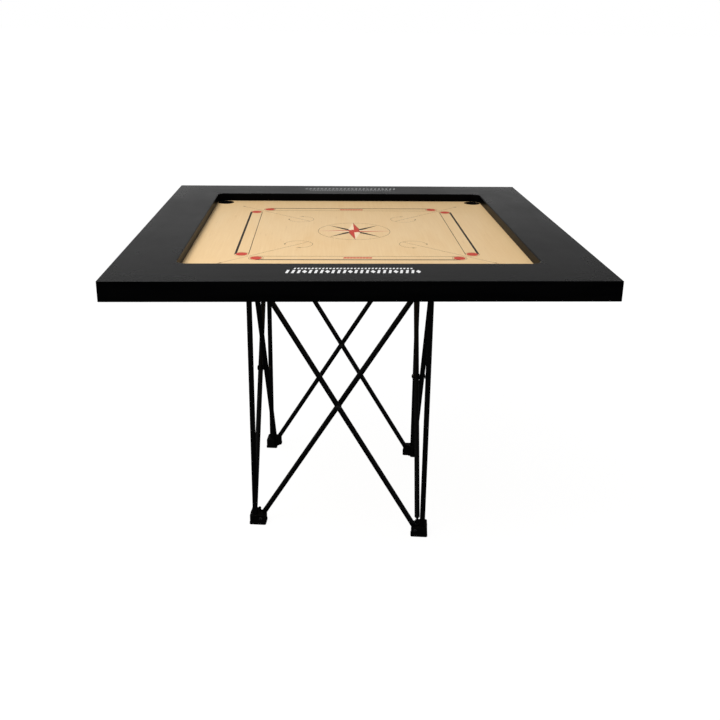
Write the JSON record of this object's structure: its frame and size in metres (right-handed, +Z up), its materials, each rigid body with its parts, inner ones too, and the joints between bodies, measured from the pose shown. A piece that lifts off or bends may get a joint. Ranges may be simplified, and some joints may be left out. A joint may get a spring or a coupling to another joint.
{
  "type": "carrom board with folding stand",
  "caption": "Square carrom board: black lacquered frame, recessed pale plywood with corner pockets and nets, lying on a folding black tube stand with crossed bars.",
  "frame": {"origin": "point on the floor under the middle of the board", "axes": "+Z up; +X to the right and -Y to the front, along the board's sides; the stand is turned a little against them, as it is in use"},
  "size_m": [0.99, 0.99, 0.721],
  "materials": {
    "black_lacquer": "black lacquer, satin sheen, smooth",
    "playing_ply": "pale birch plywood, fine grain, clear satin varnish",
    "batten_wood": "plain softwood, planed, unvarnished",
    "pocket_net": "knotted black cotton net",
    "black_tube": "gloss black powder coat on steel tube",
    "black_plastic": "moulded black nylon, fine texture",
    "black_rubber": "matte black rubber",
    "black_steel": "black oxide steel"
  },
  "bodies": {
    "board": {"front_rail": "black_lacquer", "right_rail": "black_lacquer", "back_rail": "black_lacquer", "left_rail": "black_lacquer", "playing_surface": "playing_ply", "left_batten": "batten_wood", "middle_batten": "batten_wood", "right_batten": "batten_wood", "front_left_net": "pocket_net", "back_left_net": "pocket_net", "back_right_net": "pocket_net", "front_right_net": "pocket_net"},
    "front_left_foot": {"front_left_foot": "black_plastic", "front_left_post_tube": "black_tube", "front_left_foot_screw_left": "black_steel", "front_left_foot_screw_front": "black_steel"},
    "front_left_top": {"front_left_top_bracket": "black_plastic", "front_left_inner_rod": "black_tube", "front_left_top_cap": "black_rubber", "front_left_top_screw_left": "black_steel", "front_left_top_screw_front": "black_steel"},
    "back_left_foot": {"back_left_foot": "black_plastic", "back_left_post_tube": "black_tube", "back_left_foot_screw_back": "black_steel", "back_left_foot_screw_left": "black_steel"},
    "back_left_top": {"back_left_top_bracket": "black_plastic", "back_left_inner_rod": "black_tube", "back_left_top_cap": "black_rubber", "back_left_top_screw_back": "black_steel", "back_left_top_screw_left": "black_steel"},
    "back_right_foot": {"back_right_foot": "black_plastic", "back_right_post_tube": "black_tube", "back_right_foot_screw_right": "black_steel", "back_right_foot_screw_back": "black_steel"},
    "back_right_top": {"back_right_top_bracket": "black_plastic", "back_right_inner_rod": "black_tube", "back_right_top_cap": "black_rubber", "back_right_top_screw_right": "black_steel", "back_right_top_screw_back": "black_steel"},
    "front_right_foot": {"front_right_foot": "black_plastic", "front_right_post_tube": "black_tube", "front_right_foot_screw_front": "black_steel", "front_right_foot_screw_right": "black_steel"},
    "front_right_top": {"front_right_top_bracket": "black_plastic", "front_right_inner_rod": "black_tube", "front_right_top_cap": "black_rubber", "front_right_top_screw_front": "black_steel", "front_right_top_screw_right": "black_steel"},
    "left_outer_bar": {"left_outer_bar": "black_tube", "left_centre_bolt": "black_steel"},
    "left_inner_bar": {"left_inner_bar": "black_tube"},
    "back_outer_bar": {"back_outer_bar": "black_tube", "back_centre_bolt": "black_steel"},
    "back_inner_bar": {"back_inner_bar": "black_tube"},
    "right_outer_bar": {"right_outer_bar": "black_tube", "right_centre_bolt": "black_steel"},
    "right_inner_bar": {"right_inner_bar": "black_tube"},
    "front_outer_bar": {"front_outer_bar": "black_tube", "front_centre_bolt": "black_steel"},
    "front_inner_bar": {"front_inner_bar": "black_tube"}
  },
  "joints": [
    {"name": "stand_fold", "type": "hinge", "parent": "front_left_foot", "child": "front_inner_bar", "pos_m": [-0.22648, -0.16351, 0.017], "axis": [-0.153, -0.9882, 0], "range_deg": [0, 29]},
    {"name": "front_crossing", "type": "hinge", "parent": "front_inner_bar", "child": "front_outer_bar", "pos_m": [-0.03939, -0.19955, 0.328], "axis": [0.153, 0.9882, 0], "range_deg": [0, 58]},
    {"name": "front_right_foot_pivot", "type": "hinge", "parent": "front_outer_bar", "child": "front_right_foot", "pos_m": [0.1477, -0.2356, 0.017], "axis": [-0.153, -0.9882, 0], "range_deg": [0, 29]},
    {"name": "front_left_top_pivot", "type": "hinge", "parent": "front_outer_bar", "child": "front_left_top", "pos_m": [-0.22862, -0.17734, 0.639], "axis": [-0.153, -0.9882, 0], "range_deg": [0, 29]},
    {"name": "front_right_top_pivot", "type": "hinge", "parent": "front_inner_bar", "child": "front_right_top", "pos_m": [0.14984, -0.22176, 0.639], "axis": [0.153, 0.9882, 0], "range_deg": [0, 29]},
    {"name": "left_fold", "type": "hinge", "parent": "front_left_foot", "child": "left_outer_bar", "pos_m": [-0.24627, -0.15581, 0.017], "axis": [0.999, -0.0436, 0], "range_deg": [0, 29]},
    {"name": "left_crossing", "type": "hinge", "parent": "left_outer_bar", "child": "left_inner_bar", "pos_m": [-0.23097, 0.0341, 0.328], "axis": [-0.999, 0.0436, 0], "range_deg": [0, 58]},
    {"name": "back_left_foot_pivot", "type": "hinge", "parent": "left_inner_bar", "child": "back_left_foot", "pos_m": [-0.21568, 0.22401, 0.017], "axis": [0.999, -0.0436, 0], "range_deg": [0, 29]},
    {"name": "back_left_top_pivot", "type": "hinge", "parent": "left_outer_bar", "child": "back_left_top", "pos_m": [-0.22966, 0.22463, 0.639], "axis": [-0.999, 0.0436, 0], "range_deg": [0, 29]},
    {"name": "right_fold", "type": "hinge", "parent": "front_right_foot", "child": "right_inner_bar", "pos_m": [0.15368, -0.21862, 0.017], "axis": [0.999, -0.0436, 0], "range_deg": [0, 29]},
    {"name": "right_crossing", "type": "hinge", "parent": "right_inner_bar", "child": "right_outer_bar", "pos_m": [0.16897, -0.0287, 0.328], "axis": [-0.999, 0.0436, 0], "range_deg": [0, 58]},
    {"name": "back_right_foot_pivot", "type": "hinge", "parent": "right_outer_bar", "child": "back_right_foot", "pos_m": [0.18427, 0.16121, 0.017], "axis": [0.999, -0.0436, 0], "range_deg": [0, 29]},
    {"name": "back_right_top_pivot", "type": "hinge", "parent": "right_inner_bar", "child": "back_right_top", "pos_m": [0.17029, 0.16182, 0.639], "axis": [-0.999, 0.0436, 0], "range_deg": [0, 29]},
    {"name": "back_fold", "type": "hinge", "parent": "back_left_foot", "child": "back_outer_bar", "pos_m": [-0.2097, 0.241, 0.017], "axis": [-0.153, -0.9882, 0], "range_deg": [0, 29]},
    {"name": "back_crossing", "type": "hinge", "parent": "back_outer_bar", "child": "back_inner_bar", "pos_m": [-0.02261, 0.20495, 0.328], "axis": [0.153, 0.9882, 0], "range_deg": [0, 58]},
    {"name": "board_lift", "type": "slide", "parent": "front_left_top", "child": "board", "axis": [0, 0, 1], "range_m": [0, 0.2]}
  ],
  "couplings": [
    {"joint": "front_crossing", "follows": "stand_fold", "ratio": 2},
    {"joint": "front_right_foot_pivot", "follows": "stand_fold", "ratio": 1},
    {"joint": "front_left_top_pivot", "follows": "stand_fold", "ratio": 1},
    {"joint": "front_right_top_pivot", "follows": "stand_fold", "ratio": 1},
    {"joint": "left_fold", "follows": "stand_fold", "ratio": 1},
    {"joint": "left_crossing", "follows": "stand_fold", "ratio": 2},
    {"joint": "back_left_foot_pivot", "follows": "stand_fold", "ratio": 1},
    {"joint": "back_left_top_pivot", "follows": "stand_fold", "ratio": 1},
    {"joint": "right_fold", "follows": "stand_fold", "ratio": 1},
    {"joint": "right_crossing", "follows": "stand_fold", "ratio": 2},
    {"joint": "back_right_foot_pivot", "follows": "stand_fold", "ratio": 1},
    {"joint": "back_right_top_pivot", "follows": "stand_fold", "ratio": 1},
    {"joint": "back_fold", "follows": "stand_fold", "ratio": 1},
    {"joint": "back_crossing", "follows": "stand_fold", "ratio": 2}
  ]
}
